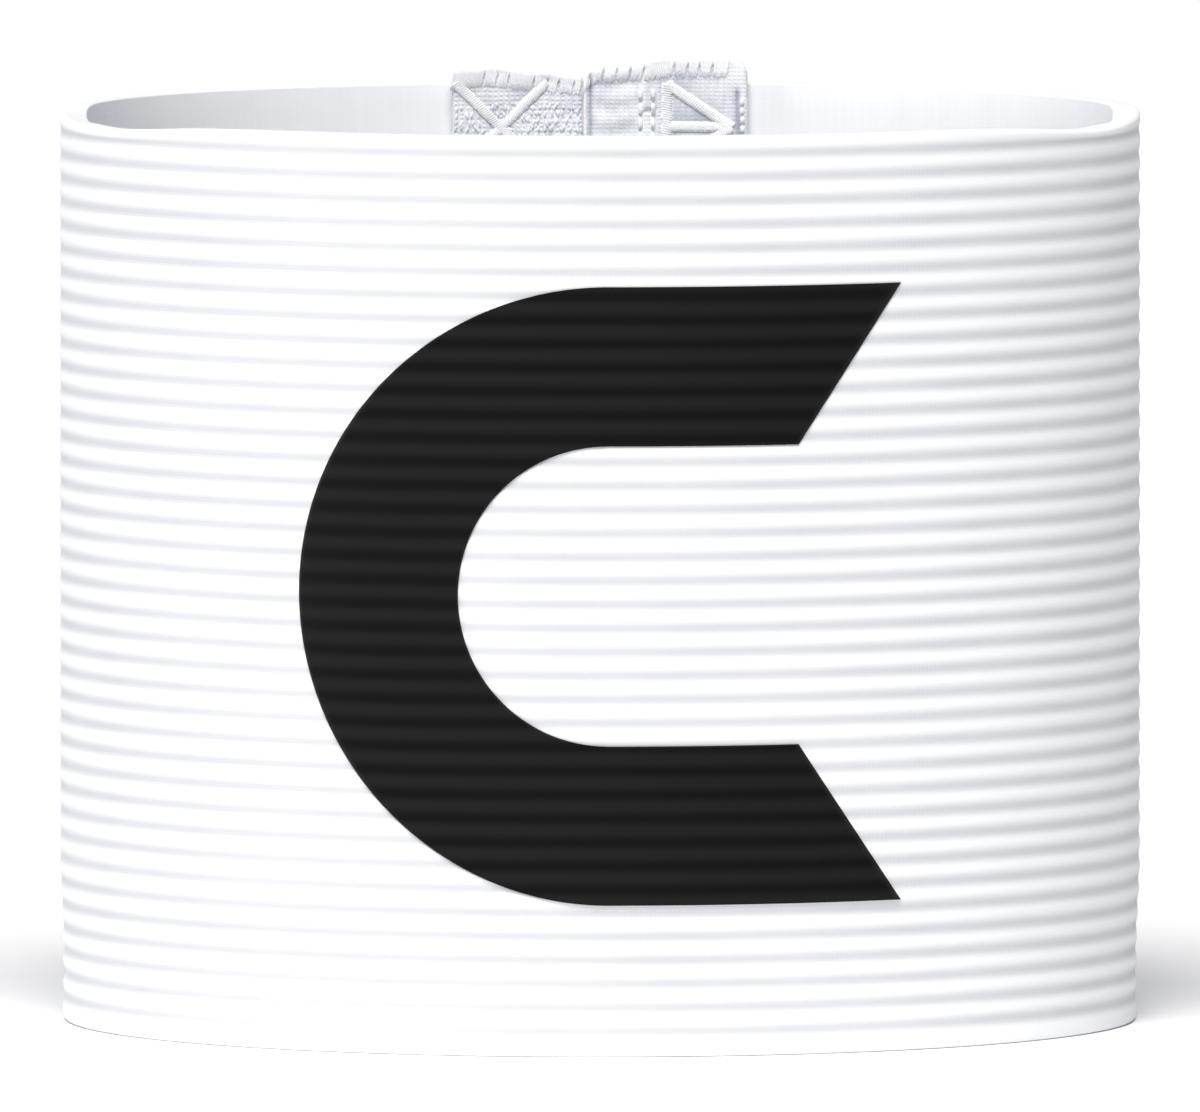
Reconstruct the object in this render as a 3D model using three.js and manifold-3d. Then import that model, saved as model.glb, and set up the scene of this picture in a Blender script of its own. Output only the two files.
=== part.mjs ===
// Captain's armband: a loop of thick ribbed elastic webbing with a letter on its front, closed
// inside its back by two strips of hook-and-loop tape. Millimetres, +Z up along the arm. The
// letter faces -Y, and the origin is the loop's centre in the plane of its lower rim.
import * as THREE from "three";
import { mergeVertices } from "three/addons/utils/BufferGeometryUtils.js";
import Module from "manifold-3d";

// Elastic webbing, bent round into the loop
const bandHeight = 80;
const boreDiameter = 90;
const wallThickness = 2.4; // inner face to rib crests
const rimChamfer = 0.35; // off the outer corner of each rim
const endGap = 3; // between the webbing's two cut ends, at the middle of the back
const loopSegments = 40;
const arcSegments = 24; // to each half round of the letter
const weldDistance = 1e-4;
const cutMargin = 5; // cutters run this far past what they cut

// Ribs round the outside, with narrow grooves between them
const ribPitch = 2.055;
const lowestGroove = 2.2; // height of the lowest groove's middle
const grooveWidth = 0.7;
const grooveDepth = 0.3;

// Letter C as seen from the front, a film pressed on the rib crests
const letterHeight = 53.6;
const letterReach = 26.1; // from the middle of the front to the tips of the arms
const letterStroke = 13.8;
const bowlCentre = 0.7; // right of the middle of the front
const tipSlant = 8.9; // how far the arms' ends lean over one stroke
const letterFilm = 0.4;
const filmGap = 0.1; // between the film and the rib crests

// Hook-and-loop tape: each strip is sewn inside one end of the webbing, and the hook strip laps
// over the loop strip. Places across the back are measured from its middle, to the right as seen
// from the front.
const tapeThickness = 1.2;
const tapeGap = 0.3; // to the webbing, and between the two strips
const tapeFoot = 0.8; // height of the strips' lower edges above the lower rim
const closureHalfWidth = 13.1; // to the outer edge of each strip
const lapEdge = -1.3; // inner edge of the hook strip
const loopStripEnd = 3.2; // hidden end of the loop strip, behind the hook strip
const stepLength = 2.6; // over which the hook strip steps back to the webbing
const stepStart = loopStripEnd + tapeThickness / 2;
const loopStripRise = 1.6; // highest point above the upper rim
const hookStripRise = 2.4;
const stripSpill = 2; // strips are bent this much longer, then trimmed to their outline
const bendStep = 0.9;

// Upper edges of the strips, from their left edge to their right one. across is a share of the
// strip's shown width, and rise a share of its highest rise above the upper rim.
const loopStripTop = [
  { across: 0, rise: 0.84 },
  { across: 0.2, rise: 1 },
  { across: 0.5, rise: 0.66 },
  { across: 0.75, rise: 0.4 },
  { across: 1, rise: 0.3 },
];
const hookStripTop = [
  { across: 0, rise: 0.3 },
  { across: 0.03, rise: 0.62 },
  { across: 0.1, rise: 0.82 },
  { across: 0.4, rise: 0.88 },
  { across: 0.55, rise: 1 },
  { across: 0.9, rise: 0.98 },
  { across: 0.97, rise: 0.8 },
  { across: 1, rise: 0.4 },
];

const innerRadius = boreDiameter / 2;
const crestRadius = innerRadius + wallThickness;

const wasm = await Module();
wasm.setup();

function solidFrom(geometry) {
  const bare = geometry.clone().deleteAttribute("normal").deleteAttribute("uv");
  const merged = mergeVertices(bare, weldDistance);
  return new wasm.Manifold(
    new wasm.Mesh({
      numProp: 3,
      vertProperties: merged.attributes.position.array,
      triVerts: new Uint32Array(merged.index.array),
    }),
  );
}

function meshFrom(name, solid, material) {
  const { numProp, vertProperties, triVerts } = solid.getMesh();
  const geometry = new THREE.BufferGeometry();
  geometry.setAttribute("position", new THREE.BufferAttribute(vertProperties, numProp));
  geometry.setIndex(new THREE.BufferAttribute(triVerts, 1));
  geometry.computeVertexNormals();
  const mesh = new THREE.Mesh(geometry, material);
  mesh.name = name;
  return mesh;
}

// Turns a closed outline of (radius, height) points once round the loop's axis.
function ringFrom(outline) {
  const closed = [...outline, outline[0]].map(([radius, height]) => new THREE.Vector2(radius, height));
  return solidFrom(new THREE.LatheGeometry(closed, loopSegments).rotateX(Math.PI / 2));
}

// Runs an outline drawn in the front view, right and up, from one depth to another along +Y.
function frontPrism(shape, fromY, toY) {
  const prism = new THREE.ExtrudeGeometry(shape, {
    depth: toY - fromY,
    bevelEnabled: false,
    curveSegments: arcSegments,
  });
  return solidFrom(prism.rotateX(Math.PI / 2).translate(0, toY, 0));
}

// Heights of the grooves' middles. The top rib keeps at least half a pitch.
function grooveHeights() {
  const heights = [];
  for (let height = lowestGroove; height < bandHeight - ribPitch / 2; height += ribPitch) {
    heights.push(height);
  }
  return heights;
}

function ribbedRing() {
  const outline = [
    [innerRadius, bandHeight],
    [innerRadius, 0],
    [crestRadius - rimChamfer, 0],
    [crestRadius, rimChamfer],
  ];
  for (const height of grooveHeights()) {
    outline.push(
      [crestRadius, height - grooveWidth / 2],
      [crestRadius - grooveDepth, height],
      [crestRadius, height + grooveWidth / 2],
    );
  }
  outline.push([crestRadius, bandHeight - rimChamfer], [crestRadius - rimChamfer, bandHeight]);
  return ringFrom(outline);
}

function elasticBand() {
  const slot = new THREE.BoxGeometry(endGap, crestRadius + cutMargin, bandHeight + 2 * cutMargin);
  slot.translate(0, (crestRadius + cutMargin) / 2, bandHeight / 2);
  return ribbedRing().subtract(solidFrom(slot));
}

// A half ring with two straight arms, whose ends slant out towards the top and the bottom.
function letterShape() {
  const half = letterHeight / 2;
  const middle = bandHeight / 2;
  const innerHalf = half - letterStroke;
  const shape = new THREE.Shape();
  shape.moveTo(letterReach, middle + half);
  shape.lineTo(bowlCentre, middle + half);
  shape.absarc(bowlCentre, middle, half, Math.PI / 2, (3 * Math.PI) / 2, false);
  shape.lineTo(letterReach, middle - half);
  shape.lineTo(letterReach - tipSlant, middle - innerHalf);
  shape.lineTo(bowlCentre, middle - innerHalf);
  shape.absarc(bowlCentre, middle, innerHalf, (3 * Math.PI) / 2, Math.PI / 2, true);
  shape.lineTo(letterReach - tipSlant, middle + innerHalf);
  shape.closePath();
  return shape;
}

function captainLetter() {
  const filmInner = crestRadius + filmGap;
  const filmOuter = filmInner + letterFilm;
  const film = ringFrom([
    [filmInner, bandHeight],
    [filmInner, 0],
    [filmOuter, 0],
    [filmOuter, bandHeight],
  ]);
  return film.intersect(frontPrism(letterShape(), -filmOuter - cutMargin, 0));
}

// A strip of tape, bent in plan along the places from -> to across the back, at the radius that
// radiusAt gives for the strip's middle, and trimmed in the front view by its outline.
function tapeStrip(from, to, radiusAt, topTable, rise) {
  const start = from - stripSpill;
  const end = to + stripSpill;
  const steps = Math.ceil((end - start) / bendStep);
  const pointAt = (index, offset) => {
    const across = start + ((end - start) * index) / steps;
    const angle = across / innerRadius;
    const radius = radiusAt(across) + offset;
    return new THREE.Vector2(radius * Math.sin(angle), radius * Math.cos(angle));
  };
  const places = [...Array(steps + 1).keys()];
  const plan = new THREE.Shape([
    ...places.map((index) => pointAt(index, -tapeThickness / 2)),
    ...places.reverse().map((index) => pointAt(index, tapeThickness / 2)),
  ]);
  const bent = new THREE.ExtrudeGeometry(plan, {
    depth: bandHeight + rise + cutMargin,
    bevelEnabled: false,
  });

  const topEdge = topTable.map(
    (row) => new THREE.Vector2(from + (to - from) * row.across, bandHeight + rise * row.rise),
  );
  const outline = new THREE.Shape([
    new THREE.Vector2(from, tapeFoot),
    new THREE.Vector2(to, tapeFoot),
    ...topEdge.reverse(),
  ]);
  return solidFrom(bent).intersect(frontPrism(outline, 0, crestRadius + cutMargin));
}

const seatedRadius = innerRadius - tapeGap - tapeThickness / 2;
const lappedRadius = seatedRadius - tapeThickness - tapeGap;

function loopStrip() {
  return tapeStrip(-closureHalfWidth, loopStripEnd, () => seatedRadius, loopStripTop, loopStripRise);
}

function hookStrip() {
  const radiusAt = (across) =>
    THREE.MathUtils.lerp(
      lappedRadius,
      seatedRadius,
      THREE.MathUtils.smoothstep(across, stepStart, stepStart + stepLength),
    );
  return tapeStrip(lapEdge, closureHalfWidth, radiusAt, hookStripTop, hookStripRise);
}

const whiteWebbing = new THREE.MeshStandardMaterial({ color: 0xf7f8fa, roughness: 0.8, metalness: 0 });
const blackFilm = new THREE.MeshStandardMaterial({ color: 0x202020, roughness: 0.6, metalness: 0 });
const loopTape = new THREE.MeshStandardMaterial({ color: 0xe6e8ef, roughness: 0.9, metalness: 0 });
const hookTape = new THREE.MeshStandardMaterial({ color: 0xeef0f5, roughness: 0.7, metalness: 0 });

const armband = new THREE.Group();
armband.add(
  meshFrom("elastic_band", elasticBand(), whiteWebbing),
  meshFrom("captain_letter", captainLetter(), blackFilm),
  meshFrom("loop_strip", loopStrip(), loopTape),
  meshFrom("hook_strip", hookStrip(), hookTape),
);

export default armband;
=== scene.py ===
import math
import random

import bpy
import numpy as np
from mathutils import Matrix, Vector


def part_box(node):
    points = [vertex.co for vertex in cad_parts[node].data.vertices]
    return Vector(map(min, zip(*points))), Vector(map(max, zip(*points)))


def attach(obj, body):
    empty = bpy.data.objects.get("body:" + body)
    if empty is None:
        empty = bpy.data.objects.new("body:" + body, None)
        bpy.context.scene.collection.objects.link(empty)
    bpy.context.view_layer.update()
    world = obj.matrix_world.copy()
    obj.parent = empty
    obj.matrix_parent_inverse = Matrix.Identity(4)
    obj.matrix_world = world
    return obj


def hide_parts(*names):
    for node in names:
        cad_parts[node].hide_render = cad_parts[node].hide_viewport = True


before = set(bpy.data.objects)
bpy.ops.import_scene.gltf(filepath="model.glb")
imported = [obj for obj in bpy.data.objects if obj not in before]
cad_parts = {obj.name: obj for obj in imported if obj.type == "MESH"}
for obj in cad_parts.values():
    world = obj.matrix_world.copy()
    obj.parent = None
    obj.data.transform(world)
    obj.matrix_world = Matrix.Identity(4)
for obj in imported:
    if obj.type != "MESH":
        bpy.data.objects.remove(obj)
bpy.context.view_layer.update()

# Captain's armband: a loop of thick ribbed white elastic with a black letter on its front and a
# hook-and-loop closure inside its back. Lengths are millimetres until a mesh is made.
# "across" is a place along the loop, measured from the middle of the back to the right as seen
# from the front, and "height" is measured from the lower rim.
metresPerMm = 0.001
dice = random.Random(11)


def boxInMm(node):
    low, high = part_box(node)
    return low / metresPerMm, high / metresPerMm


bandLow, bandHigh = boxInMm("elastic_band")
bandHeight = bandHigh.z - bandLow.z
crestRadius = bandHigh.x

# Webbing bent round into the loop, with ribs round its outside
webbing = {
    "wall": 2.4,
    "endGap": 3.0,
    "ribPitch": 2.055,
    "lowestGroove": 2.2,
    "grooveDepth": 0.13,
    "rimRound": 0.45,  # outer corner of each rim
    "innerRimRound": 0.14,
    "innerRows": 34,
    "columns": 190,
    "endColumns": [0, 0.1, 0.3, 0.6, 1.0],  # distances from each cut end
    "endRound": 0.6,
    "hemPull": 0.28,  # the lower rim sits in by this much
    "hemTop": 14,
    "hemBottom": 6,
    "rimDip": 0.2,  # the upper rim sinks by this much across the front
    "shoulderDip": 0.75,  # and by this much more where the front turns into the sides
    "shoulderTurn": 68,  # degrees round from the middle of the front
    "shoulderSpread": 15,
    "cornerDip": 0.55,  # the rim's inner edge sinks by this much more at the sides
    "cornerTurn": 84,
    "cornerSpread": 7,
    "dipDepth": 2.1,  # only this much of the band below its upper rim gives way
}
ribSamples = 9  # points to each rib


def smoothStep(value, start, end):
    share = np.clip((value - start) / (end - start), 0, 1)
    return share * share * (3 - 2 * share)


# Mesh making

def makePiece(name, points, faces, materials, uv=None, masks=None, faceMaterials=None):
    mesh = bpy.data.meshes.new(name)
    mesh.from_pydata((np.asarray(points) * metresPerMm).tolist(), [], faces)
    mesh.update()
    for material in materials:
        mesh.materials.append(material)
    if faceMaterials is not None:
        mesh.polygons.foreach_set("material_index", faceMaterials)
    mesh.polygons.foreach_set("use_smooth", [True] * len(mesh.polygons))
    if uv is not None:
        corners = np.zeros(len(mesh.loops), dtype=np.int32)
        mesh.loops.foreach_get("vertex_index", corners)
        layer = mesh.uv_layers.new(name="clothMm")
        layer.data.foreach_set("uv", np.asarray(uv, dtype=np.float32)[corners].ravel())
    for maskName, values in (masks or {}).items():
        attribute = mesh.attributes.new(maskName, "FLOAT", "POINT")
        attribute.data.foreach_set("value", np.asarray(values, dtype=np.float32))
    piece = bpy.data.objects.new(name, mesh)
    bpy.context.scene.collection.objects.link(piece)
    return piece


# Faces of a grid whose points are numbered row by row.
def gridFaces(rows, columns, firstPoint=0):
    faces = []
    for row in range(rows - 1):
        start = firstPoint + row * columns
        for column in range(columns - 1):
            corner = start + column
            faces.append((corner, corner + 1, corner + columns + 1, corner + columns))
    return faces


# Points on the open edge of a set of faces.
def openEdgePoints(faces):
    used = {(start, end) for face in faces for start, end in zip(face, face[1:] + face[:1])}
    return {start for start, end in used if (end, start) not in used}


# Closes two matching skins into one solid: the back skin is turned over, and a wall joins their
# open edges.
def closeSkins(frontPoints, backPoints, faces):
    count = len(frontPoints)
    used = {(start, end) for face in faces for start, end in zip(face, face[1:] + face[:1])}
    wall = [
        (end, start, start + count, end + count)
        for start, end in sorted(used)
        if (end, start) not in used
    ]
    back = [tuple(corner + count for corner in reversed(face)) for face in faces]
    return np.vstack([frontPoints, backPoints]), list(faces) + back + wall


# Materials

def linearFromHex(colour):
    channels = [int(colour[place : place + 2], 16) / 255 for place in (1, 3, 5)]
    linear = [c / 12.92 if c <= 0.04045 else ((c + 0.055) / 1.055) ** 2.4 for c in channels]
    return (*linear, 1)


# Adds a node with its settings. An input is either a value or another node's output.
def addNode(tree, kind, inputs=None, **settings):
    node = tree.nodes.new("ShaderNode" + kind)
    for name, value in settings.items():
        setattr(node, name, value)
    for name, value in (inputs or {}).items():
        if isinstance(value, bpy.types.NodeSocket):
            tree.links.new(value, node.inputs[name])
        else:
            node.inputs[name].default_value = value
    return node


def startMaterial(name, finish):
    material = bpy.data.materials.new(name)
    material.use_nodes = True
    tree = material.node_tree
    shader = tree.nodes["Principled BSDF"]
    for socket, value in finish.items():
        shader.inputs[socket].default_value = value
    return material, tree, shader


# Scale of a wave texture whose bands are this far apart, on coordinates in the same unit.
def bandScale(period):
    return math.pi / 10 / period


elasticFinish = {
    "crest": "#f9fafb",
    # The groove colour is painted shade, darkest at each groove's middle.
    "groove": "#d0d2d5",
    "grooveSharpness": 1.2,  # higher is a narrower band of painted shade
    "threadPitch": 0.42,  # the covering threads round each rib, coarser than real so that they show
    "yarnPitch": 0.26,  # fine yarns along the ribs
    "threadBump": 0.011,
    "ribLustre": 0.4,  # the taut covering threads shine a little where they turn away
    "rimLustre": 0.03,
}


# Woven polyester elastic, white: matt, with fine upright threads over each rib and painted shade that
# greys the base colour towards each groove's middle.
def makeElasticWebbing(name, lustre):
    material, tree, shader = startMaterial(
        name,
        {"Roughness": 0.85, "IOR": 1.5, "Specular IOR Level": lustre, "Sheen Weight": 0.1,
         "Sheen Roughness": 0.4},
    )
    shader.inputs["Sheen Tint"].default_value = linearFromHex("#dfe4f0")
    cloth = addNode(tree, "UVMap", uv_map="clothMm").outputs["UV"]
    threads = addNode(
        tree, "TexWave",
        {"Vector": cloth, "Scale": bandScale(elasticFinish["threadPitch"]), "Distortion": 0.6,
         "Detail": 1.0, "Detail Scale": 1.5},
        bands_direction="X",
    )
    yarns = addNode(
        tree, "TexWave",
        {"Vector": cloth, "Scale": bandScale(elasticFinish["yarnPitch"]), "Distortion": 0.5},
        bands_direction="Y",
    )
    weave = addNode(
        tree, "Mix", {"Factor": 0.35, "A": threads.outputs["Fac"], "B": yarns.outputs["Fac"]}
    )
    patches = addNode(tree, "TexNoise", {"Vector": cloth, "Scale": 0.09, "Detail": 4.0})
    # Painted shade: this mask darkens the base colour towards the middle of each groove.
    groove = addNode(tree, "Attribute", attribute_name="groove")
    line = addNode(
        tree, "Math", {0: groove.outputs["Fac"], 1: elasticFinish["grooveSharpness"]},
        operation="POWER",
    )
    uneven = addNode(
        tree, "MapRange", {"Value": patches.outputs["Fac"], "To Min": 0.75, "To Max": 1.15}
    )
    shade = addNode(
        tree, "Math", {0: line.outputs[0], 1: uneven.outputs["Result"]},
        operation="MULTIPLY", use_clamp=True,
    )
    colour = addNode(
        tree, "Mix",
        {"Factor": shade.outputs[0], "A": linearFromHex(elasticFinish["crest"]),
         "B": linearFromHex(elasticFinish["groove"])},
        data_type="RGBA",
    )
    bump = addNode(
        tree, "Bump",
        {"Height": weave.outputs["Result"], "Distance": elasticFinish["threadBump"] * metresPerMm,
         "Strength": 1.0},
    )
    tree.links.new(colour.outputs["Result"], shader.inputs["Base Color"])
    tree.links.new(bump.outputs["Normal"], shader.inputs["Normal"])
    return material


innerFinish = {
    "light": "#fdfeff",
    "dark": "#f2f4f8",
    "walePitch": 0.9,  # upright lines of the knitted inner face
    "coursePitch": 0.5,
    "streakWidth": 1.8,
}


# Inner face of the elastic, white polyester: flat, with faint upright lines and a soft nap.
def makeInnerFace():
    material, tree, shader = startMaterial(
        "knittedElasticFace",
        {"Roughness": 0.9, "IOR": 1.5, "Specular IOR Level": 0.03, "Sheen Weight": 0.1,
         "Sheen Roughness": 0.5},
    )
    cloth = addNode(tree, "UVMap", uv_map="clothMm").outputs["UV"]
    wales = addNode(
        tree, "TexWave",
        {"Vector": cloth, "Scale": bandScale(innerFinish["walePitch"]), "Distortion": 1.2,
         "Detail": 2.0},
        bands_direction="X",
    )
    courses = addNode(
        tree, "TexWave",
        {"Vector": cloth, "Scale": bandScale(innerFinish["coursePitch"]), "Distortion": 0.8},
        bands_direction="Y",
    )
    stretched = addNode(
        tree, "Mapping", {"Vector": cloth, "Scale": (1 / innerFinish["streakWidth"], 0.02, 1)}
    )
    streaks = addNode(
        tree, "TexNoise", {"Vector": stretched.outputs["Vector"], "Scale": 1.0, "Detail": 3.0}
    )
    tone = addNode(
        tree, "Mix", {"Factor": 0.12, "A": streaks.outputs["Fac"], "B": wales.outputs["Fac"]}
    )
    colour = addNode(
        tree, "Mix",
        {"Factor": tone.outputs["Result"], "A": linearFromHex(innerFinish["dark"]),
         "B": linearFromHex(innerFinish["light"])},
        data_type="RGBA",
    )
    relief = addNode(
        tree, "Mix", {"Factor": 0.3, "A": wales.outputs["Fac"], "B": courses.outputs["Fac"]}
    )
    bump = addNode(
        tree, "Bump", {"Height": relief.outputs["Result"], "Distance": 0.008 * metresPerMm}
    )
    tree.links.new(colour.outputs["Result"], shader.inputs["Base Color"])
    tree.links.new(bump.outputs["Normal"], shader.inputs["Normal"])
    return material


filmFinish = {
    "crest": "#1d1d1d",
    # The groove colour is painted shade.
    "groove": "#0d0d0d",
    "rimWear": "#343436",
    "peel": 0.9,  # spacing of the faint ripple left by the hot press
    "grain": 0.12,
}


# Heat-pressed polyurethane film, black: matt and smooth, with a faint ripple from the press,
# paler worn edges and painted shade that darkens it towards each groove's middle.
def makeFilm():
    material, tree, shader = startMaterial(
        "heatPressedFilmBlack", {"Roughness": 0.55, "IOR": 1.48, "Specular IOR Level": 0.08}
    )
    place = addNode(tree, "UVMap", uv_map="clothMm").outputs["UV"]
    peel = addNode(tree, "TexNoise", {"Vector": place, "Scale": 1 / filmFinish["peel"], "Detail": 3.0})
    grain = addNode(tree, "TexNoise", {"Vector": place, "Scale": 1 / filmFinish["grain"], "Detail": 2.0})
    relief = addNode(
        tree, "Mix", {"Factor": 0.4, "A": peel.outputs["Fac"], "B": grain.outputs["Fac"]}
    )
    groove = addNode(tree, "Attribute", attribute_name="groove")
    rim = addNode(tree, "Attribute", attribute_name="rim")
    wear = addNode(
        tree, "Math", {0: rim.outputs["Fac"], 1: peel.outputs["Fac"]}, operation="MULTIPLY"
    )
    # Painted shade: the black darkens towards the middle of each groove under the letter.
    black = addNode(
        tree, "Mix",
        {"Factor": groove.outputs["Fac"], "A": linearFromHex(filmFinish["crest"]),
         "B": linearFromHex(filmFinish["groove"])},
        data_type="RGBA",
    )
    colour = addNode(
        tree, "Mix",
        {"Factor": wear.outputs[0], "A": black.outputs["Result"],
         "B": linearFromHex(filmFinish["rimWear"])},
        data_type="RGBA",
    )
    gloss = addNode(
        tree, "MapRange", {"Value": peel.outputs["Fac"], "To Min": 0.48, "To Max": 0.66}
    )
    bump = addNode(
        tree, "Bump", {"Height": relief.outputs["Result"], "Distance": 0.02 * metresPerMm}
    )
    tree.links.new(colour.outputs["Result"], shader.inputs["Base Color"])
    tree.links.new(gloss.outputs["Result"], shader.inputs["Roughness"])
    tree.links.new(bump.outputs["Normal"], shader.inputs["Normal"])
    return material


# A tape's cloth: crossing threads, upright streaks, and a shade for each point from its tone mask, which
# holds painted shade as well as the cloth's own tone.
# The threads are drawn about twice as coarse as real, so that they show.
def makeTapeCloth(name, finish, values):
    material, tree, shader = startMaterial(name, finish)
    place = addNode(tree, "UVMap", uv_map="clothMm").outputs["UV"]
    warp = addNode(
        tree, "TexWave",
        {"Vector": place, "Scale": bandScale(values["warpPitch"]), "Distortion": values["wander"],
         "Detail": 1.0},
        bands_direction="X",
    )
    weft = addNode(
        tree, "TexWave",
        {"Vector": place, "Scale": bandScale(values["weftPitch"]), "Distortion": values["wander"],
         "Detail": 1.0},
        bands_direction="Y",
    )
    weave = addNode(
        tree, "Math", {0: warp.outputs["Fac"], 1: weft.outputs["Fac"]}, operation="MULTIPLY"
    )
    stretched = addNode(tree, "Mapping", {"Vector": place, "Scale": values["streakScale"]})
    streaks = addNode(
        tree, "TexNoise", {"Vector": stretched.outputs["Vector"], "Scale": 1.0, "Detail": 3.0}
    )
    streakShade = addNode(
        tree, "MapRange",
        {"Value": streaks.outputs["Fac"], "From Min": 0.3, "From Max": 0.7,
         "To Min": -values["streak"], "To Max": values["streak"]},
    )
    weaveShade = addNode(
        tree, "MapRange",
        {"Value": weave.outputs[0], "To Min": -values["weaveShade"], "To Max": values["weaveShade"]},
    )
    # This mask carries painted shade beside the bands of stitches, in the slots, along the narrow seams
    # and in half of each bay.
    tone = addNode(tree, "Attribute", attribute_name="tone")
    streaked = addNode(
        tree, "Math", {0: tone.outputs["Fac"], 1: streakShade.outputs["Result"]}, operation="ADD"
    )
    shaded = addNode(
        tree, "Math", {0: streaked.outputs[0], 1: weaveShade.outputs["Result"]},
        operation="ADD", use_clamp=True,
    )
    colour = addNode(
        tree, "Mix",
        {"Factor": shaded.outputs[0], "A": linearFromHex(values["dark"]),
         "B": linearFromHex(values["light"])},
        data_type="RGBA",
    )
    relief = addNode(
        tree, "Math", {0: weave.outputs[0], 1: streaks.outputs["Fac"]}, operation="ADD"
    )
    bump = addNode(
        tree, "Bump",
        {"Height": relief.outputs[0], "Distance": values["bump"] * metresPerMm, "Strength": 1.0},
    )
    tree.links.new(colour.outputs["Result"], shader.inputs["Base Color"])
    tree.links.new(bump.outputs["Normal"], shader.inputs["Normal"])
    return material


# Brushed nylon loop tape: a soft ground of crushed pile in fine upright ridges.
def makeLoopTapeCloth():
    return makeTapeCloth(
        "brushedNylonLoops",
        {"Roughness": 0.95, "IOR": 1.53, "Specular IOR Level": 0.15, "Sheen Weight": 0.2,
         "Sheen Roughness": 0.6},
        {"warpPitch": 0.5, "weftPitch": 0.4, "wander": 2.0, "bump": 0.05, "weaveShade": 0.07,
         "streakScale": (2.2, 0.7, 1), "streak": 0.16, "light": "#f6f8fc", "dark": "#b1b6c2"},
    )


# Woven nylon tape that carries the hooks on its hidden face: flat, tight plain weave.
def makeHookTapeCloth():
    return makeTapeCloth(
        "wovenNylonTape",
        {"Roughness": 0.75, "IOR": 1.53, "Specular IOR Level": 0.25, "Sheen Weight": 0.15,
         "Sheen Roughness": 0.4},
        {"warpPitch": 0.42, "weftPitch": 0.36, "wander": 0.8, "bump": 0.03, "weaveShade": 0.05,
         "streakScale": (1.8, 0.5, 1), "streak": 0.13, "light": "#f4f6fb", "dark": "#adb2bf"},
    )


# Nylon pile yarn, brushed: fine, soft and matt, with paler and darker tufts.
def makePileYarn():
    material, tree, shader = startMaterial(
        "nylonPileYarn",
        {"Roughness": 0.8, "IOR": 1.53, "Specular IOR Level": 0.15, "Sheen Weight": 0.2,
         "Sheen Roughness": 0.5},
    )
    place = addNode(tree, "TexCoord").outputs["Object"]
    tufts = addNode(tree, "TexNoise", {"Vector": place, "Scale": 900.0, "Detail": 2.0})  # per metre
    colour = addNode(
        tree, "Mix",
        {"Factor": tufts.outputs["Fac"], "A": linearFromHex("#dee2ee"), "B": linearFromHex("#f6f8ff")},
        data_type="RGBA",
    )
    bump = addNode(tree, "Bump", {"Height": tufts.outputs["Fac"], "Distance": 0.03 * metresPerMm})
    tree.links.new(colour.outputs["Result"], shader.inputs["Base Color"])
    tree.links.new(bump.outputs["Normal"], shader.inputs["Normal"])
    return material


# Spun polyester sewing thread, white: two plies twisted, slightly lustrous.
def makeSewingThread():
    material, tree, shader = startMaterial(
        "spunPolyesterThread",
        {"Roughness": 0.6, "IOR": 1.5, "Specular IOR Level": 0.12, "Sheen Weight": 0.1,
         "Sheen Roughness": 0.4},
    )
    place = addNode(tree, "UVMap", uv_map="clothMm").outputs["UV"]
    plies = addNode(
        tree, "TexWave",
        {"Vector": place, "Scale": bandScale(thread["plyPitch"]), "Distortion": 0.4},
        bands_direction="DIAGONAL",
    )
    colour = addNode(
        tree, "Mix",
        {"Factor": plies.outputs["Fac"], "A": linearFromHex("#fafbff"), "B": linearFromHex("#fdfdff")},
        data_type="RGBA",
    )
    bump = addNode(
        tree, "Bump", {"Height": plies.outputs["Fac"], "Distance": 0.01 * metresPerMm}
    )
    tree.links.new(colour.outputs["Result"], shader.inputs["Base Color"])
    tree.links.new(bump.outputs["Normal"], shader.inputs["Normal"])
    return material


# Camera and light

cameraPlace = {
    "distance": 3330,  # from the loop's axis, which makes the view almost parallel
    "height": 246,  # above the floor
    "aimHeight": 40.6,  # on the loop's axis
    "lens": 1141,
    "sensor": 36,
}


def makeCamera():
    data = bpy.data.cameras.new("camera")
    data.lens = cameraPlace["lens"]
    data.sensor_width = cameraPlace["sensor"]
    data.clip_start, data.clip_end = 0.1, 60
    camera = bpy.data.objects.new("camera", data)
    eye = Vector((0, -cameraPlace["distance"], cameraPlace["height"])) * metresPerMm
    aim = Vector((0, 0, cameraPlace["aimHeight"])) * metresPerMm
    camera.location = eye
    camera.rotation_euler = (aim - eye).to_track_quat("-Z", "Y").to_euler()
    bpy.context.scene.collection.objects.link(camera)
    bpy.context.scene.camera = camera


# Each lamp is a large soft light, far away. Its side is in degrees to the right of the camera,
# its rise in degrees above the horizon, and its spread is how wide it looks.
lamps = {
    "keyLight": {"strength": 3.82, "colour": "#fffdfa", "side": -4, "rise": 56, "spread": 36},
    "leftFill": {"strength": 1.1, "colour": "#ffffff", "side": -88, "rise": 5, "spread": 16},
}
studio = {
    "skyStrength": 0.09,
    "skyColour": "#b4ccf0",
    "floorColour": "#fafafb",
    "floorFleck": "#fcfcfd",
    "floorReach": 12000,
}


def makeLamp(name, values):
    sun = bpy.data.lights.new(name, "SUN")
    sun.energy = values["strength"]
    sun.color = linearFromHex(values["colour"])[:3]
    sun.angle = math.radians(values["spread"])
    lamp = bpy.data.objects.new(name, sun)
    side, rise = math.radians(values["side"]), math.radians(values["rise"])
    towards = Vector(
        (math.sin(side) * math.cos(rise), -math.cos(side) * math.cos(rise), math.sin(rise))
    )
    lamp.rotation_euler = towards.to_track_quat("Z", "Y").to_euler()
    bpy.context.scene.collection.objects.link(lamp)


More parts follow.
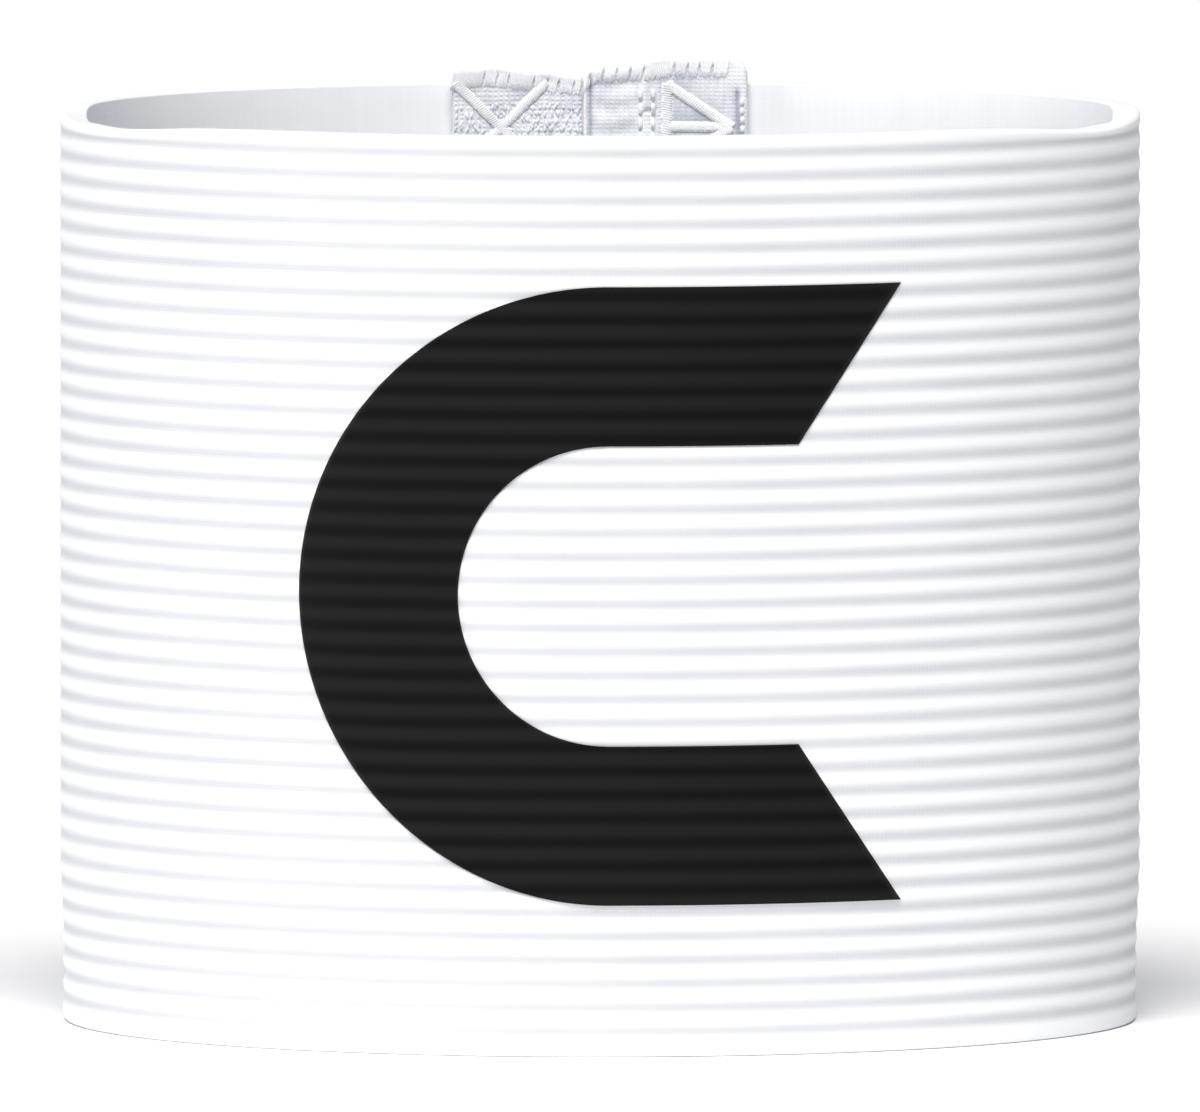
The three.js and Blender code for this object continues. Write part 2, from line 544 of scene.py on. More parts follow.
def makeStudio():
    for name, values in lamps.items():
        makeLamp(name, values)
    world = bpy.data.worlds.new("studio")
    world.use_nodes = True
    background = world.node_tree.nodes["Background"]
    background.inputs["Color"].default_value = linearFromHex(studio["skyColour"])
    background.inputs["Strength"].default_value = studio["skyStrength"]
    bpy.context.scene.world = world
    bpy.context.scene.view_settings.view_transform = "Standard"

    # Matt pale paper, which has no gloss and a faint tooth.
    paper, tree, shader = startMaterial("mattPaper", {"Roughness": 0.95, "Specular IOR Level": 0.1})
    tooth = addNode(tree, "TexNoise", {"Scale": 40.0, "Detail": 3.0})
    tint = addNode(
        tree, "Mix",
        {"Factor": tooth.outputs["Fac"], "A": linearFromHex(studio["floorColour"]),
         "B": linearFromHex(studio["floorFleck"])},
        data_type="RGBA",
    )
    tree.links.new(tint.outputs["Result"], shader.inputs["Base Color"])
    reach = studio["floorReach"]
    floorCorners = [(-reach, -reach, 0), (reach, -reach, 0), (reach, reach, 0), (-reach, reach, 0)]
    makePiece("floor", floorCorners, [(0, 1, 2, 3)], [paper])


makeCamera()
makeStudio()
print("studio ready")


# Webbing

innerRadius = crestRadius - webbing["wall"]
grooveCount = 1 + int(
    (bandHeight - webbing["ribPitch"] / 2 - webbing["lowestGroove"]) / webbing["ribPitch"]
)


# Share of the groove's depth at a height: 0 on a rib's crest and 1 at a groove's middle.
def grooveShare(height):
    pitch = webbing["ribPitch"]
    steps = (np.asarray(height, dtype=float) - webbing["lowestGroove"]) / pitch
    nearest = np.clip(np.round(steps), 0, grooveCount - 1)
    return (1 + np.cos(math.pi * np.clip(np.abs(steps - nearest) * 2, 0, 1))) / 2


# Heights where the webbing's outer face has points, from the lower rim up.
def outerHeights():
    pitch = webbing["ribPitch"]
    lowest = webbing["lowestGroove"]
    heights = []
    for rib in range(-1, grooveCount):
        heights += [lowest + (rib + share / ribSamples) * pitch for share in range(ribSamples)]
    low, high = webbing["rimRound"], bandHeight - webbing["rimRound"]
    kept = [height for height in heights if low < height < high]
    return np.array([low, *kept, high])


ribHeights = outerHeights()
ribRadii = crestRadius - webbing["grooveDepth"] * grooveShare(ribHeights)


# Inward pull of the hem at a height.
def hemPull(height):
    return webbing["hemPull"] * (1 - smoothStep(height, webbing["hemBottom"], webbing["hemTop"]))


# Sag of the soft upper rim, for a place round the loop, a radius and a height.
def rimSag(angle, radius, height):
    turn = np.degrees(np.abs(angle - math.pi))
    front = webbing["rimDip"] * (1 - smoothStep(turn, 75, 100))
    shoulder = np.exp(-(((turn - webbing["shoulderTurn"]) / webbing["shoulderSpread"]) ** 2))
    corner = np.exp(-(((turn - webbing["cornerTurn"]) / webbing["cornerSpread"]) ** 2))
    inward = np.clip((crestRadius - radius) / webbing["wall"], 0, 1)
    sag = front + webbing["shoulderDip"] * shoulder + webbing["cornerDip"] * corner * inward
    return sag * smoothStep(height, bandHeight - webbing["dipDepth"], bandHeight)


# Slight unevenness of the bent loop, under a tenth of a millimetre.
def loopWobble(angle, height):
    return 0.03 * np.sin(3 * angle + 1.3) + 0.02 * np.sin(8 * angle + height / 19) - 0.02


# The webbing's closed section: radius, height, mask for the painted shade in the grooves and face, which
# is 0 on the ribs, 1 on the inner face and 2 on the rims.
def webbingSection():
    rows = [(*row, float(grooveShare(row[1])), 0) for row in zip(ribRadii, ribHeights)]
    outer, inner = webbing["rimRound"], webbing["innerRimRound"]
    turns = [math.radians(step) for step in (18, 36, 54, 72, 90)]
    outerCorner = [(outer * (1 - math.cos(turn)), outer * (1 - math.sin(turn))) for turn in turns]
    innerCorner = [(inner * (1 - math.cos(turn)), inner * (1 - math.sin(turn))) for turn in turns]
    rows += [(ribRadii[-1] - inward, bandHeight - down, 0, 2) for inward, down in outerCorner]
    rows += [(innerRadius + outward, bandHeight - down, 0, 2) for outward, down in innerCorner[::-1]]
    rows += [
        (innerRadius, height, 0, 1)
        for height in np.linspace(bandHeight - inner, inner, webbing["innerRows"])
    ]
    rows += [(innerRadius + outward, up, 0, 2) for outward, up in innerCorner]
    rows += [(ribRadii[0] - inward, up, 0, 2) for inward, up in outerCorner[::-1]]
    return np.array(rows)


def makeWebbing(materials):
    section = webbingSection()
    middleRadius = (crestRadius + innerRadius) / 2
    halfGap = webbing["endGap"] / 2
    fullLength = 2 * math.pi * middleRadius - webbing["endGap"]
    ends = webbing["endColumns"]
    inner = np.linspace(ends[-1] * 2, fullLength - ends[-1] * 2, webbing["columns"])
    places = np.concatenate([ends, inner, fullLength - np.array(ends[::-1])])
    fromEnd = np.minimum(places, fullLength - places)
    fullness = np.sqrt(1 - (1 - np.clip(fromEnd / webbing["endRound"], 0.06, 1)) ** 2)

    columns, rows = len(places), len(section)
    radius, height, groove, face = section.T
    points, uv = [], []
    for place, full in zip(places, fullness):
        angle = (place + halfGap) / middleRadius
        bent = middleRadius + (radius - middleRadius) * full - hemPull(height) + loopWobble(angle, height)
        sunk = height - rimSag(angle, radius, height)
        points.append(np.stack([bent * np.sin(angle), bent * np.cos(angle), sunk], axis=1))
        uv.append(np.stack([np.full(rows, place), height], axis=1))
    points, uv = np.vstack(points), np.vstack(uv)

    faces, faceMaterials = [], []
    for column in range(columns - 1):
        start = column * rows
        for row in range(rows):
            upper = (row + 1) % rows
            faces.append((start + row, start + upper, start + rows + upper, start + rows + row))
            faceMaterials.append(int(max(face[row], face[upper])))
    faces.append(tuple(reversed(range(rows))))
    faces.append(tuple(range((columns - 1) * rows, columns * rows)))
    faceMaterials += [0, 0]
    return makePiece(
        "ribbed_webbing", points, faces, materials, uv,
        {"groove": np.tile(groove, columns)}, faceMaterials,
    )


band = makeWebbing([
    makeElasticWebbing("wovenElasticWhite", elasticFinish["ribLustre"]),
    makeInnerFace(),
    makeElasticWebbing("wovenElasticRim", elasticFinish["rimLustre"]),
])
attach(band, "root")
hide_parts("elastic_band")
print("webbing ready")


# Letter

letter = {
    "stroke": 13.8,
    "bowlCentre": 0.7,  # right of the middle of the front
    "tipSlant": 8.9,
    "film": 0.16,
    "lift": 0.04,  # off the ribs, so that the two faces never cross
    "edgeDrop": 0.06,  # the pressed edge is this much lower
    "bowlColumns": 60,
    "armColumns": 40,
    "edgeRows": [0.002, 0.02, 0.07, 0.15, 0.27, 0.45, 0.7],  # closer rows where the bowl is flat
    "ribRowsTo": 0.9,  # the rows that follow the ribs end this far inside the outline
}
letterLow, letterHigh = boxInMm("captain_letter")


# Point on or over the ribs at the front, for a place across the front view.
def frontPoint(across, height, lift):
    radius = np.interp(height, ribHeights, ribRadii) + lift
    angle = math.pi - np.arcsin(across / radius)
    radius = radius - hemPull(height) + loopWobble(angle, height)
    return np.stack([across, -np.sqrt(radius**2 - across**2), height + 0 * across], axis=-1)


# Rows of the letter from the top down. Each is a height with the row's left end, the right end of
# its bowl and, in the two arms, the slanted tip.
def letterRows():
    half = (letterHigh.z - letterLow.z) / 2
    middle = (letterHigh.z + letterLow.z) / 2
    innerHalf = half - letter["stroke"]
    furthest = half - letter["ribRowsTo"]
    offsets = [height - middle for height in ribHeights if abs(height - middle) < furthest]
    for sign in (1, -1):
        offsets += [sign * (half - step) for step in letter["edgeRows"]]
        offsets += [sign * (innerHalf - step) for step in letter["edgeRows"][1:]]
        offsets.append(sign * innerHalf)
    rows = []
    for offset in sorted(set(offsets), reverse=True):
        left = letter["bowlCentre"] - math.sqrt(half**2 - offset**2)
        if abs(offset) >= innerHalf:
            lean = letter["tipSlant"] * (half - abs(offset)) / letter["stroke"]
            rows.append((middle + offset, left, letter["bowlCentre"], letterHigh.x - lean))
        else:
            notch = letter["bowlCentre"] - math.sqrt(innerHalf**2 - offset**2)
            rows.append((middle + offset, left, notch, None))
    return rows


def makeLetter(material):
    across, height, rowIds, faces = [], [], [], []
    for rowHeight, left, bowlEnd, tip in letterRows():
        xs = list(np.linspace(left, bowlEnd, letter["bowlColumns"]))
        if tip is not None:
            xs += list(np.linspace(bowlEnd, tip, letter["armColumns"])[1:])
        rowIds.append(range(len(across), len(across) + len(xs)))
        across += xs
        height += [rowHeight] * len(xs)
    for upper, lower in zip(rowIds, rowIds[1:]):
        for column in range(min(len(upper), len(lower)) - 1):
            faces.append((upper[column], lower[column], lower[column + 1], upper[column + 1]))
    across, height = np.array(across), np.array(height)
    edge = openEdgePoints(faces)
    drop = np.zeros(len(across))
    drop[list(edge)] = letter["edgeDrop"]
    front = frontPoint(across, height, letter["lift"] + letter["film"] - drop)
    back = frontPoint(across, height, np.full(len(across), letter["lift"]))
    points, faces = closeSkins(front, back, faces)
    uv = np.tile(np.stack([across, height], axis=1), (2, 1))
    masks = {"groove": np.tile(grooveShare(height), 2), "rim": np.tile(drop / letter["edgeDrop"], 2)}
    return makePiece("letter_film", points, faces, [material], uv, masks)


blackFilm = makeFilm()
letterPiece = makeLetter(blackFilm)
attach(letterPiece, "root")
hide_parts("captain_letter")
print("letter ready")


# Tapes of the closure

# Both tapes stand on the inner face. A seam presses the tape down along a line between two places,
# and a place is written (across, height).
tape = {
    "thickness": 1.2,
    "gap": 0.3,  # to the webbing, and between the two tapes
    "foot": 0.8,
    "stepStart": 3.8,  # the hook tape steps back to the webbing here
    "stepLength": 2.6,
    "columnWidth": 0.22,
    "rowHeight": 0.26,
    "edgeRound": 0.3,
    "edgeSteps": [0, 0.06, 0.15, 0.29],  # closer rows and columns along the edges
    "gridFrom": 0.45,
    "gridTo": 0.4,
    "bandPress": 0.1,  # dent under a band of stitches
    "bandPressWidth": 0.6,
    "bandShadeWidth": 1.0,
    "slotFrom": 0.65,  # the wrapping thread parts between these depths under the upper edge
    "slotTo": 2.0,
}
loopTape = {
    "from": -13.1,
    "to": 3.2,
    "shownTo": -1.6,
    "rise": 1.6,
    "top": [(0, 0.84), (0.2, 1), (0.5, 0.66), (0.75, 0.4), (1, 0.3)],  # share across, share of rise
    "slots": [-10.2, -9.0, -8.0, -5.7, -4.6, -3.5, -2.2],
    "crossFrom": -12.9,
    "crossTo": -4.7,
    "crossTop": 0.1,  # above the upper rim
    "crossHeight": 8.1,
    "crosses": 9,
    "barShift": 0.6,  # of the bar under each cross, to the right of the cross's middle
    "barFoot": 1,
    "ridgePitch": 2.3,
    "ridgeTop": 78.6,
    "ridgeHeight": 0.05,
    "ridgeFrom": -5,
    "ridgeTo": -1,
}
hookTape = {
    "from": -1.3,
    "to": 13.1,
    "shownTo": 11.6,
    "rise": 2.4,
    "top": [
        (0, 0.3), (0.03, 0.62), (0.1, 0.82), (0.4, 0.88), (0.55, 1), (0.9, 0.98), (0.97, 0.8), (1, 0.4),
    ],
    "slots": [0.5, 1.7, 2.9, 4.1, 6.8, 7.9, 9.0, 10.1],
    "bayFrom": 5.9,
    "bayTo": 11.7,
    "bayTop": -0.1,
    "bayHeight": 3.75,
    "bays": 20,
    "edgeGroove": -0.85,
    "rollRadius": 0.24,  # of the rolled inner edge
    "rollWave": 0.02,
    "stitchLines": [3.6, 4.7],
    "paleFrom": 3.4,
    "selvedgeGroove": 12.2,
    "selvedgeStitches": 12.62,
    "pulledStitch": ((3.9, 77.7), (4.9, 77.7)),  # between the two rows of stitches
    "ridgePitch": 2.1,
    "ridgeTop": 78.9,
    "ridgeHeight": 0.08,
    "ridgeFrom": -0.6,
    "ridgeTo": 3.3,
}
seatedRadius = innerRadius - tape["gap"] - tape["thickness"] / 2
lappedRadius = seatedRadius - tape["thickness"] - tape["gap"]


# Radius of a strip's middle.
def middleOf(strip, across):
    if strip is loopTape:
        return seatedRadius + 0 * across
    step = smoothStep(across, tape["stepStart"], tape["stepStart"] + tape["stepLength"])
    return lappedRadius + (seatedRadius - lappedRadius) * step


def topOf(strip, across):
    shares, rises = zip(*strip["top"])
    share = (across - strip["from"]) / (strip["to"] - strip["from"])
    return bandHeight + strip["rise"] * np.interp(share, shares, rises)


# Satin bands of the loop tape: a column of crosses, each with a bar down from its middle.
def loopTapeBands():
    left, right = loopTape["crossFrom"], loopTape["crossTo"]
    bar = (left + right) / 2 + loopTape["barShift"]
    bands = []
    for cross in range(loopTape["crosses"]):
        top = bandHeight + loopTape["crossTop"] - cross * loopTape["crossHeight"]
        bottom = top - loopTape["crossHeight"]
        bands += [
            ((left, top), (right, bottom)),
            ((right, top), (left, bottom)),
            ((bar, (top + bottom) / 2), (bar, bottom + loopTape["barFoot"])),
        ]
    return bands


# Satin bands of the hook tape: a ladder of bays, each with one diagonal, that leans the other way
# in every second bay.
def hookTapeBands():
    left, right = hookTape["bayFrom"], hookTape["bayTo"]
    ladderTop = bandHeight + hookTape["bayTop"]
    bands = []
    for bay in range(hookTape["bays"]):
        top = ladderTop - bay * hookTape["bayHeight"]
        bottom = top - hookTape["bayHeight"]
        slope = ((left, top), (right, bottom)) if bay % 2 == 0 else ((right, top), (left, bottom))
        bands += [slope, ((left, bottom), (right, bottom))]
    bands.append(((left, ladderTop), (left, bottom)))
    return bands


# A band is two places, and a line is two places with its width and depth. Lines run from above the
# rim to near the foot of the tape.
lineTop, lineFoot = bandHeight + 0.6, tape["foot"] + 1.2
groovePlace, selvedgePlace = hookTape["edgeGroove"], hookTape["selvedgeGroove"]
loopTape["bands"] = loopTapeBands()
loopTape["lines"] = []
hookTape["bands"] = hookTapeBands()
hookTape["lines"] = [
    ((place, lineTop), (place, lineFoot), 0.3, 0.14) for place in hookTape["stitchLines"]
]
hookTape["lines"] += [
    ((groovePlace, lineTop), (groovePlace, lineFoot), 0.16, 0.5),
    ((selvedgePlace, lineTop - 1.3), (selvedgePlace, lineFoot), 0.2, 0.3),
    (*hookTape["pulledStitch"], 0.12, 0.3),
]


# Closeness to a line between two places: 1 on it, falling off over a width.
def closeness(start, end, width, across, height):
    alongX, alongZ = end[0] - start[0], end[1] - start[1]
    share = (across - start[0]) * alongX + (height - start[1]) * alongZ
    share = np.clip(share / (alongX**2 + alongZ**2), 0, 1)
    away = (across - start[0] - share * alongX) ** 2 + (height - start[1] - share * alongZ) ** 2
    return np.exp(-away / width**2)


# Depth of the dents that the seams press into a strip.
def pressOf(strip, across, height):
    press = np.zeros(np.shape(across))
    for start, end in strip["bands"]:
        near = closeness(start, end, tape["bandPressWidth"], across, height)
        press = np.maximum(press, tape["bandPress"] * near)
    for start, end, width, depth in strip["lines"]:
        press = np.maximum(press, depth * closeness(start, end, width, across, height))
    return press


# Radius of the strip's face that shows inside the loop, with its level ridges and slight crumples.
def faceOf(strip, across, height):
    turn = 2 * math.pi / strip["ridgePitch"]
    wander = 0.5 * np.sin(across * 1.6)
    ridge = strip["ridgeHeight"] * np.cos(turn * (height - strip["ridgeTop"]) + wander)
    ridge = ridge * smoothStep(across, strip["ridgeFrom"] - 0.4, strip["ridgeFrom"] + 0.4)
    ridge = ridge * smoothStep(-across, -strip["ridgeTo"] - 0.4, -strip["ridgeTo"] + 0.4)
    crumple = 0.05 * np.sin(across * 1.7 + height * 0.9) + 0.04 * np.sin(height * 1.3 - across)
    press = pressOf(strip, across, height)
    return middleOf(strip, across) - tape["thickness"] / 2 + press + crumple - ridge


# Shares of tone and painted shade for the tapes' cloth.
clothToneAndShade = {
    "ground": 0.45,
    "open": 0.4,  # added away from the bands of stitches
    "crushedAndShadowed": 0.6,  # share of that lost beside a band, as painted shade where the pile is also crushed
    "slot": 0.25,  # these three are taken away as painted shade: in the slots, along narrow seams, in half of each bay
    "line": 0.8,
    "bay": 0.24,
    "pale": 0.3,  # these two are added
    "corner": 0.5,
}


# Shade of the cloth, mostly painted shade: 0 in painted shadow beside the bands, where the pile is also
# crushed, in the slots, along the narrow seams and in half of each bay, and 1 where it is clean and open.
def toneAndShadeOf(strip, across, height):
    openCloth = np.ones(np.shape(across))
    # Painted shade beside each band of stitches, where the pile is also crushed.
    for start, end in strip["bands"]:
        near = closeness(start, end, tape["bandShadeWidth"], across, height)
        openCloth = openCloth * (1 - clothToneAndShade["crushedAndShadowed"] * near)
    # Painted shade in the slots, where the wrapping thread parts.
    below = topOf(strip, across) - height
    inSlots = smoothStep(below, tape["slotFrom"] - 0.2, tape["slotFrom"] + 0.1)
    inSlots = inSlots * smoothStep(-below, -tape["slotTo"] - 0.2, -tape["slotTo"])
    tone = clothToneAndShade["ground"] + clothToneAndShade["open"] * openCloth - clothToneAndShade["slot"] * inSlots
    # Painted shade along each narrow seam.
    for start, end, width, depth in strip["lines"]:
        if width < 0.3:  # the wider lines are rows of stitches, and stay pale
            tone = tone - clothToneAndShade["line"] * closeness(start, end, width, across, height)
    if strip is hookTape:
        left, right = hookTape["bayFrom"], hookTape["bayTo"]
        down = (bandHeight + hookTape["bayTop"] - height) / hookTape["bayHeight"]
        bay = np.floor(down)
        side = (across - left) / (right - left)
        side = np.where(bay % 2 == 0, side, 1 - side)
        inBay = (across > left) & (across < right) & (down > 0) & (bay < hookTape["bays"])
        # Painted shade in the half of each bay below its diagonal.
        tone = tone - clothToneAndShade["bay"] * inBay * smoothStep(down - bay - side, 0, 0.15)
        pale = smoothStep(across, hookTape["paleFrom"] - 0.1, hookTape["paleFrom"] + 0.1)
        pale = pale * smoothStep(-across, -left - 0.8, -left - 0.4)
        corner = smoothStep(across, 10.4, 11) * smoothStep(height, bandHeight - 1, bandHeight - 0.3)
        tone = tone + clothToneAndShade["pale"] * pale + clothToneAndShade["corner"] * corner
    return np.clip(tone, 0, 1)


def backPoint(across, height, radius):
    return np.stack([across, np.sqrt(radius**2 - across**2), height], axis=-1)


def makeTape(name, strip, material):
    steps = np.array(tape["edgeSteps"])
    width = strip["to"] - strip["from"]
    tallest = bandHeight + strip["rise"] - tape["foot"]
    columnPlaces = np.concatenate(
        [
            steps,
            np.arange(tape["gridFrom"], width - tape["gridTo"], tape["columnWidth"]),
            width - steps[::-1],
        ]
    )
    rowPlaces = np.concatenate(
        [
            steps,
            np.arange(tape["gridFrom"], tallest - tape["gridTo"], tape["rowHeight"]),
            tallest - steps[::-1],
        ]
    )
    across = strip["from"] + columnPlaces[None, :] + 0 * rowPlaces[:, None]
    top = topOf(strip, across)
    height = tape["foot"] + (top - tape["foot"]) * rowPlaces[:, None] / tallest
    toEdge = np.minimum.reduce(
        [across - strip["from"], strip["to"] - across, height - tape["foot"], top - height]
    )
    full = np.sqrt(1 - (1 - np.clip(toEdge / tape["edgeRound"], 0.05, 1)) ** 2)
    middle = middleOf(strip, across)
    front = backPoint(across, height, middle + (faceOf(strip, across, height) - middle) * full)
    back = backPoint(across, height, middle + tape["thickness"] / 2 * full)
    faces = gridFaces(*across.shape)
    points, faces = closeSkins(front.reshape(-1, 3), back.reshape(-1, 3), faces)
    uv = np.tile(np.stack([across.ravel(), height.ravel()], axis=1), (2, 1))
    # Tone and painted shade of each point.
    tone = toneAndShadeOf(strip, across, height).ravel()
    masks = {"tone": np.concatenate([tone, np.full(len(tone), 0.7)])}
    piece = makePiece(name, points, faces, [material], uv, masks)
    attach(piece, "root")
    return piece


loopPiece = makeTape("loop_tape", loopTape, makeLoopTapeCloth())
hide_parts("loop_strip")
hookPiece = makeTape("hook_tape", hookTape, makeHookTapeCloth())
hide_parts("hook_strip")
print("tapes ready")


# Sewing thread

thread = {
    "radius": 0.16,
    "sides": 5,
    "plyPitch": 0.24,
    "satinWidth": 1.05,
    "satinPitch": 0.21,
    "rowShare": 0.8,  # of the pitch that shows between two holes
    "wrapPitch": 0.17,
    "wrapLean": 0.3,  # to the right at the top
    "partWidth": 0.15,  # the wraps part by this much to each side of a slot
    "partReach": 0.42,
    "archRise": 0.34,
    "pilePitch": 0.45,  # pile is drawn coarser and sparser than real
    "pileRows": 0.66,
    "pileLength": 0.7,
    "pileRadius": 0.11,
    "pileTone": 0.64,  # no pile where the cloth is darker than this
    "zigzagPitch": 0.5,
}


# Adds one tube along a path to a store of points and faces. Its ends are closed and narrower.
def addThread(store, path, radius):
    path = np.asarray(path, dtype=float)
    along = np.gradient(path, axis=0)
    along /= np.linalg.norm(along, axis=1)[:, None]
    sideways = np.cross(along[0], [0, 0, 1] if abs(along[0][0]) > 0.7 else [1, 0, 0])
    side = []
    for direction in along:  # carried from ring to ring, so that the tube never twists
        sideways = sideways - direction * sideways.dot(direction)
        sideways = sideways / math.sqrt(sideways.dot(sideways))
        side.append(sideways)
    side = np.array(side)
    other = np.cross(along, side)
    sides, rings = thread["sides"], len(path)
    turns = np.linspace(0, 2 * math.pi, sides, endpoint=False)
    girths = radius * np.sqrt(1.1 - np.linspace(-1, 1, rings) ** 6)
    cosines, sines = np.cos(turns)[None, :, None], np.sin(turns)[None, :, None]
    ringShape = cosines * side[:, None, :] + sines * other[:, None, :]
    points = path[:, None, :] + girths[:, None, None] * ringShape
    lengths = np.concatenate([[0], np.cumsum(np.linalg.norm(np.diff(path, axis=0), axis=1))])
    uv = np.stack(np.broadcast_arrays(lengths[:, None], (turns * radius)[None, :]), axis=-1)
    first = store["count"]
    for ring in range(rings - 1):
        start = first + ring * sides
        for turn in range(sides):
            after = (turn + 1) % sides
            store["faces"].append(
                (start + turn, start + after, start + sides + after, start + sides + turn)
            )
    last = first + (rings - 1) * sides
    store["faces"].append(tuple(reversed(range(first, first + sides))))
    store["faces"].append(tuple(range(last, last + sides)))
    store["points"].append(points.reshape(-1, 3))
    store["uv"].append(uv.reshape(-1, 2))
    store["count"] += rings * sides


# A stitch between two holes. The surface gives a point for a place, a height and a lift.
def addStitch(store, surface, start, end, radius, lift, sink=0.2, steps=6):
    share = np.linspace(0, 1, steps)
    across = start[0] + (end[0] - start[0]) * share
    height = start[1] + (end[1] - start[1]) * share
    rise = -sink + (lift + sink) * np.clip(np.sin(math.pi * share) * 1.8, 0, 1)
    addThread(store, surface(across, height, rise), radius)


def addRow(store, surface, start, end, pitch, radius, lift):
    count = max(1, round(math.dist(start, end) / pitch))
    shown = thread["rowShare"]
    for stitch in range(count):
        jitter = dice.uniform(-0.03, 0.03)
        ends = [
            (start[0] + (end[0] - start[0]) * share + jitter, start[1] + (end[1] - start[1]) * share)
            for share in ((stitch + 0.5 - shown / 2) / count, (stitch + 0.5 + shown / 2) / count)
        ]
        addStitch(store, surface, *ends, radius, lift)


# Close slanting stitches that cover a band from one place to another.
def addSatin(store, surface, start, end, width, pitch, radius, lift):
    length = math.dist(start, end)
    alongX, alongZ = (end[0] - start[0]) / length, (end[1] - start[1]) / length
    count = max(2, round(length / pitch))
    for stitch in range(count):
        centre = (stitch + 0.5) / count * length
        half = width / 2 * dice.uniform(0.9, 1.06)
        ends = []
        for sign in (-1, 1):
            along = centre + sign * pitch * 0.6
            ends.append((
                start[0] + alongX * along - alongZ * half * sign,
                start[1] + alongZ * along + alongX * half * sign,
            ))
        addStitch(store, surface, *ends, radius, lift)


# Thread wrapped over a strip's upper edge. It parts at the slots, where shade is painted on the cloth.
def addWrap(store, strip):
    half, radius = tape["thickness"] / 2, thread["radius"]
    slots = np.array(strip["slots"])
    for crown in np.arange(strip["from"] + 0.15, strip["shownTo"], thread["wrapPitch"]):
        edge = float(topOf(strip, crown))
        middle = float(middleOf(strip, crown))
        below = np.array([1, 0.8, 0.6, 0.42, 0.3, 0.2]) * tape["slotTo"] * dice.uniform(0.94, 1.05)
        fromSlot = crown - slots[np.argmin(np.abs(slots - crown))]
        nearSlot = math.exp(-((fromSlot / thread["partReach"]) ** 2))
        part = math.copysign(thread["partWidth"], fromSlot) * nearSlot
        opened = smoothStep(below, tape["slotFrom"] - 0.25, tape["slotFrom"] + 0.2)
        across = crown + part * opened - thread["wrapLean"] * below / tape["slotTo"]
        lift = np.where(below == below[0], -0.12, 0.02)
        face = faceOf(strip, across, edge - below) - lift
        path = list(backPoint(across, edge - below, face))
        for turn in (20, 55, 90, 125, 160, 180):  # degrees over the edge, to the hidden face
            angle = math.radians(turn)
            place = middle - (half + 0.04) * math.cos(angle)
            height = edge - tape["edgeRound"] + thread["archRise"] * math.sin(angle)
            path.append((crown, math.sqrt(place**2 - crown**2), height))
        path.append((crown, math.sqrt((middle + half - 0.05) ** 2 - crown**2), edge - 0.8))
        addThread(store, path, radius)


# Short upright loops of pile in rows, left out where a band of stitches holds the cloth down.
def addPile(store, strip, surface):
    lowest, highest = tape["foot"] + 1.5, bandHeight - 1.2
    for height in np.arange(lowest, highest, thread["pileRows"]):
        for across in np.arange(strip["from"] + 0.5, strip["shownTo"], thread["pilePitch"]):
            place = across + dice.uniform(-0.2, 0.2)
            rise = height + dice.uniform(-0.2, 0.2)
            if toneAndShadeOf(strip, np.array(place), np.array(rise)) < thread["pileTone"]:
                continue
            length = thread["pileLength"] * dice.uniform(0.8, 1.2)
            foot = (place + dice.uniform(-0.25, 0.25), rise - length)
            radius = thread["pileRadius"]
            addStitch(store, surface, (place, rise), foot, radius, 0.03, sink=0.08, steps=4)


def makeThreads(name, store, material):
    piece = makePiece(
        name, np.vstack(store["points"]), store["faces"], [material], np.vstack(store["uv"])
    )
    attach(piece, "root")


def emptyStore():
    return {"points": [], "faces": [], "uv": [], "count": 0}


def surfaceOf(strip):
    def surface(across, height, lift):
        return backPoint(across, height, faceOf(strip, across, height) - lift)

    return surface


# Outer face of the webbing at the back, over the same place as on the tapes inside.
def outerSurface(across, height, lift):
    height = np.clip(height, 0.8, bandHeight - 0.8)
    radius = np.interp(height, ribHeights, ribRadii) - hemPull(height)
    across = across * crestRadius / seatedRadius
    radius = radius + loopWobble(np.arcsin(across / radius), height) + lift
    return backPoint(across, height, radius)


sewingThread = makeSewingThread()

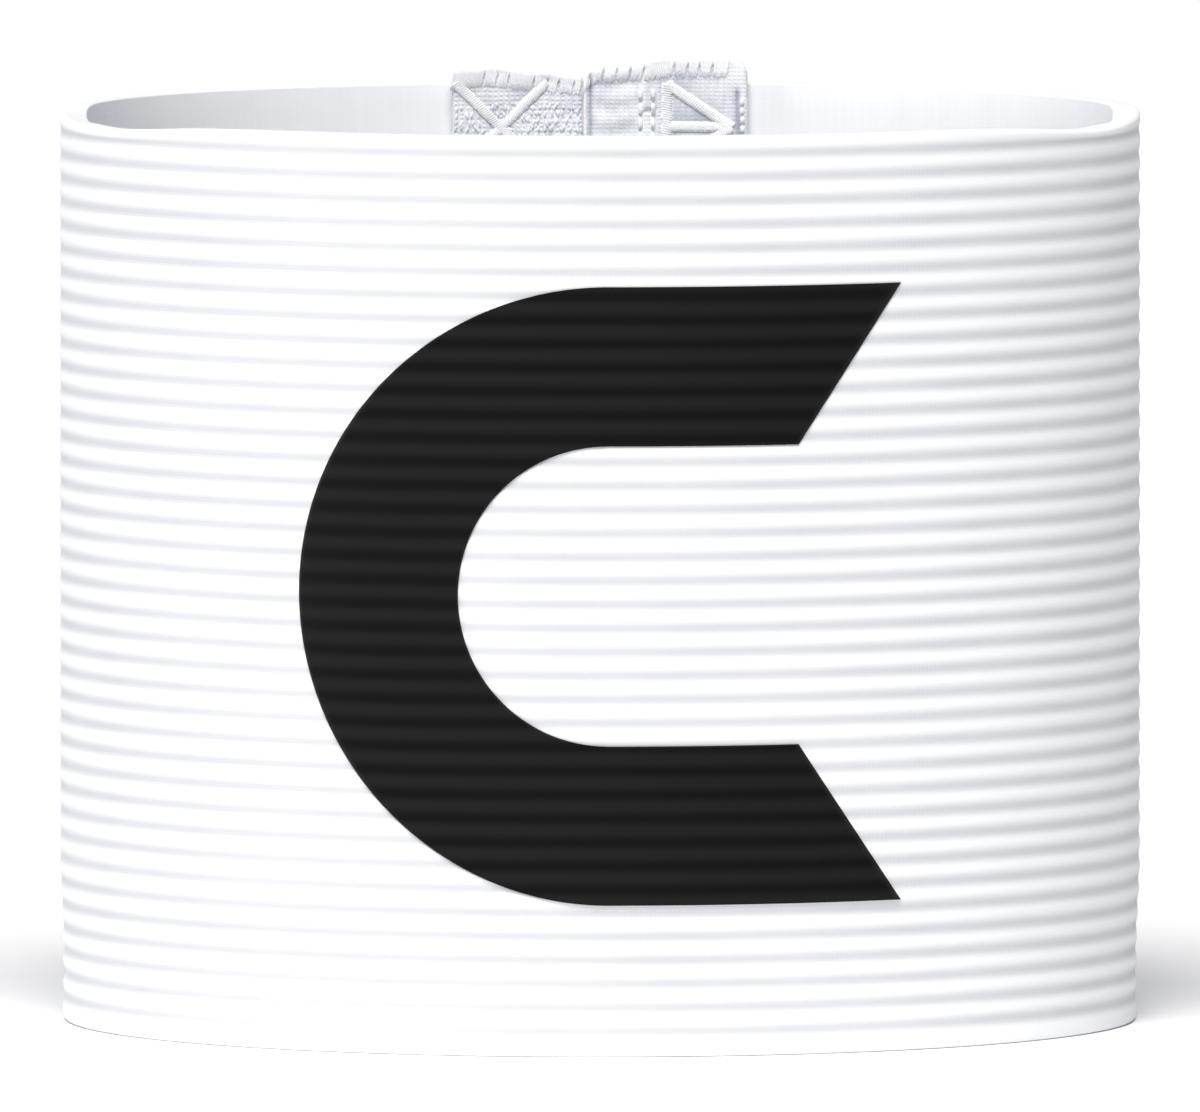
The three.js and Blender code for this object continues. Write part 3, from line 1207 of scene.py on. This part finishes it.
# A band of satin stitches: its width, the pitch, the thread's radius and its lift off the cloth
satin = (thread["satinWidth"], thread["satinPitch"], thread["radius"], 0.08)

loopStore = emptyStore()
loopSurface = surfaceOf(loopTape)
for start, end in loopTape["bands"]:
    addSatin(loopStore, loopSurface, start, end, *satin)
addWrap(loopStore, loopTape)
makeThreads("loop_tape_stitches", loopStore, sewingThread)

pileStore = emptyStore()
addPile(pileStore, loopTape, loopSurface)
makeThreads("loop_pile", pileStore, makePileYarn())

hookStore = emptyStore()
hookSurface = surfaceOf(hookTape)
for start, end in hookTape["bands"]:
    addSatin(hookStore, hookSurface, start, end, *satin)
for place in hookTape["stitchLines"]:
    addRow(hookStore, hookSurface, (place, bandHeight - 0.3), (place, lineFoot), 1.3, 0.2, 0.1)
selvedge = hookTape["selvedgeStitches"]
addRow(hookStore, hookSurface, (selvedge, bandHeight - 1.2), (selvedge, lineFoot), 0.8, 0.19, 0.14)
addWrap(hookStore, hookTape)

# The hook tape's inner edge is rolled, and the roll runs down the whole lap.
rollHeights = np.linspace(float(topOf(hookTape, hookTape["from"])) + 0.3, tape["foot"], 90)
rollPlaces = hookTape["from"] + hookTape["rollWave"] * np.sin(rollHeights * 2.4)
rollRadii = np.full(len(rollHeights), lappedRadius - tape["thickness"] / 2 + 0.05)
addThread(hookStore, backPoint(rollPlaces, rollHeights, rollRadii), hookTape["rollRadius"])
makeThreads("hook_tape_stitches", hookStore, sewingThread)

# The same seams as they come through on the outside of the webbing, and a zigzag down each cut end.
outerStore = emptyStore()
outerSatin = (0.9, thread["zigzagPitch"], 0.12, 0.07)
endPlace = webbing["endGap"] / 2 + 0.9
cutEnds = [((side * endPlace, bandHeight - 1), (side * endPlace, 1)) for side in (-1, 1)]
for start, end in loopTape["bands"] + hookTape["bands"] + cutEnds:
    addSatin(outerStore, outerSurface, start, end, *outerSatin)
for place in hookTape["stitchLines"]:
    addRow(outerStore, outerSurface, (place, bandHeight - 1), (place, lineFoot), 1.3, 0.12, 0.07)
makeThreads("outer_stitches", outerStore, sewingThread)
print("stitches ready")
